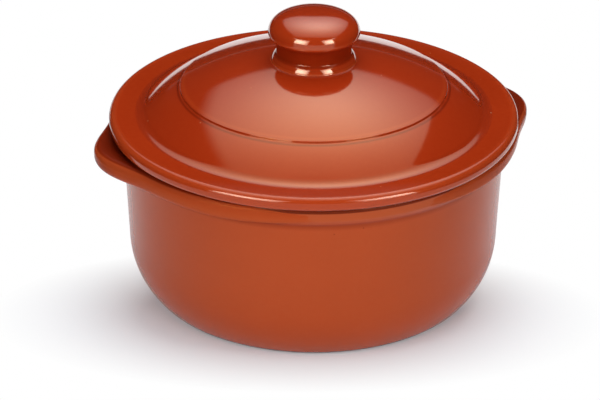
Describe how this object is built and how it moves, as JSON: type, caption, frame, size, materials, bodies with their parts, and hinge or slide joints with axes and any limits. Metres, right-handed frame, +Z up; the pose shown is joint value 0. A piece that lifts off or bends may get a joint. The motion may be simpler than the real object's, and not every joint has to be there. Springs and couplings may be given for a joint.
{
  "type": "lidded clay pot",
  "caption": "Round earthenware cooking pot with a lug on each side and a domed, stepped lid that lifts off by its mushroom knob.",
  "frame": {"origin": "centre of the base, on the surface the pot stands on", "axes": "+Z up along the pot's axis, +X through the middle of the right lug"},
  "size_m": [0.231, 0.21, 0.1502],
  "materials": {
    "satin_glaze": "satin",
    "gloss_glaze": "gloss"
  },
  "bodies": {
    "pot": {"pot_bowl": "satin_glaze", "left_lug": "satin_glaze", "right_lug": "satin_glaze"},
    "lid": {"lid": "gloss_glaze", "lid_knob": "gloss_glaze"}
  },
  "joints": [
    {"name": "lid_lift", "type": "slide", "parent": "pot", "child": "lid", "axis": [0, 0, 1], "range_m": [0, 0.12]}
  ]
}
